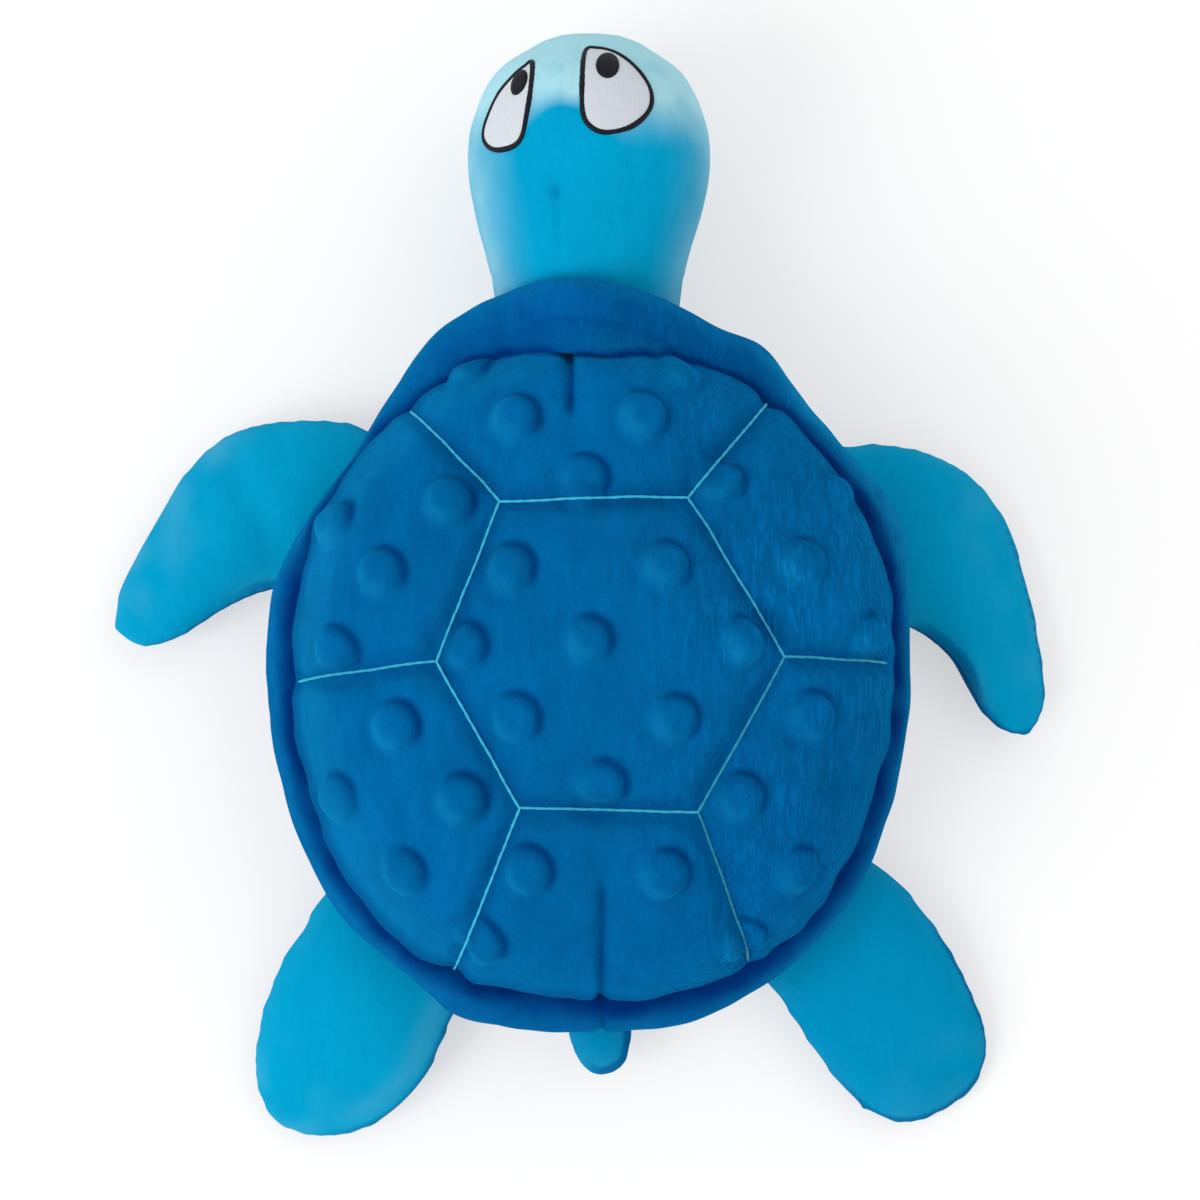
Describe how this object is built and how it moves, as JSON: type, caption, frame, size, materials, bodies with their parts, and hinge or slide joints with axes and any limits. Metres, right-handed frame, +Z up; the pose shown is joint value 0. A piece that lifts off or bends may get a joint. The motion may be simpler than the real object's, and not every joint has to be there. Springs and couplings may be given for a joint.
{
  "type": "plush turtle",
  "caption": "Stuffed toy turtle with a dotted dome shell, rolled rim, turning head with embroidered eyes, flippers and a tail.",
  "frame": {"origin": "on the floor, in the flat of the belly, under the middle of the shell", "axes": "+Z up, +Y from the belly's middle towards the head, +X towards the turtle's right"},
  "size_m": [0.2151, 0.255, 0.074],
  "materials": {
    "dotted_plush": "soft blue plush with raised dots",
    "rim_plush": "soft blue plush",
    "cyan_velour": "short cyan velour with a soft sheen",
    "belly_velour": "short cyan velour",
    "light_thread": "light blue embroidery thread",
    "white_thread": "white embroidery",
    "black_thread": "black satin-stitched thread",
    "filling": "white fibre filling"
  },
  "bodies": {
    "torso": {"shell_cover": "dotted_plush", "shell_stitching": "light_thread", "body_filling": "filling", "rim_cover": "rim_plush", "rim_filling": "filling", "belly_panel": "belly_velour"},
    "neck": {"neck_filling": "filling"},
    "head": {"head_left_panel": "cyan_velour", "head_right_panel": "cyan_velour", "head_filling": "filling", "left_eye_white": "white_thread", "left_eye_border": "black_thread", "left_eye_pupil": "black_thread", "right_eye_white": "white_thread", "right_eye_border": "black_thread", "right_eye_pupil": "black_thread"},
    "front_flipper_left": {"front_flipper_left_top_panel": "cyan_velour", "front_flipper_left_bottom_panel": "cyan_velour", "front_flipper_left_filling": "filling"},
    "front_flipper_right": {"front_flipper_right_top_panel": "cyan_velour", "front_flipper_right_bottom_panel": "cyan_velour", "front_flipper_right_filling": "filling"},
    "rear_flipper_left": {"rear_flipper_left_top_panel": "cyan_velour", "rear_flipper_left_bottom_panel": "cyan_velour", "rear_flipper_left_filling": "filling"},
    "rear_flipper_right": {"rear_flipper_right_top_panel": "cyan_velour", "rear_flipper_right_bottom_panel": "cyan_velour", "rear_flipper_right_filling": "filling"},
    "tail": {"tail_top_panel": "cyan_velour", "tail_bottom_panel": "cyan_velour", "tail_filling": "filling"}
  },
  "joints": [
    {"name": "head_turn", "type": "hinge", "parent": "torso", "child": "neck", "pos_m": [0, 0.0875, 0.028], "axis": [0, 0, 1], "range_deg": [-15, 15], "stiffness_Nm_per_rad": 0.15},
    {"name": "head_nod", "type": "hinge", "parent": "neck", "child": "head", "pos_m": [0, 0.0875, 0.028], "axis": [1, 0, 0], "range_deg": [-18, 5], "stiffness_Nm_per_rad": 0.4},
    {"name": "front_flipper_left_flap", "type": "hinge", "parent": "torso", "child": "front_flipper_left", "pos_m": [-0.05604, 0.0319, 0.014], "axis": [0.458, 0.8889, 0], "range_deg": [-40, 30], "stiffness_Nm_per_rad": 0.06},
    {"name": "front_flipper_right_flap", "type": "hinge", "parent": "torso", "child": "front_flipper_right", "pos_m": [0.05909, 0.02521, 0.014], "axis": [0.3689, -0.9294, 0], "range_deg": [-40, 30], "stiffness_Nm_per_rad": 0.06},
    {"name": "rear_flipper_left_flap", "type": "hinge", "parent": "torso", "child": "rear_flipper_left", "pos_m": [-0.04118, -0.06242, 0.014], "axis": [-0.7261, 0.6876, 0], "range_deg": [-40, 30], "stiffness_Nm_per_rad": 0.06},
    {"name": "rear_flipper_right_flap", "type": "hinge", "parent": "torso", "child": "rear_flipper_right", "pos_m": [0.04713, -0.05581, 0.014], "axis": [-0.6109, -0.7917, 0], "range_deg": [-40, 30], "stiffness_Nm_per_rad": 0.06},
    {"name": "tail_flap", "type": "hinge", "parent": "torso", "child": "tail", "pos_m": [0.00205, -0.07629, 0.014], "axis": [-1, -0.0085, 0], "range_deg": [-30, 30], "stiffness_Nm_per_rad": 0.02}
  ]
}
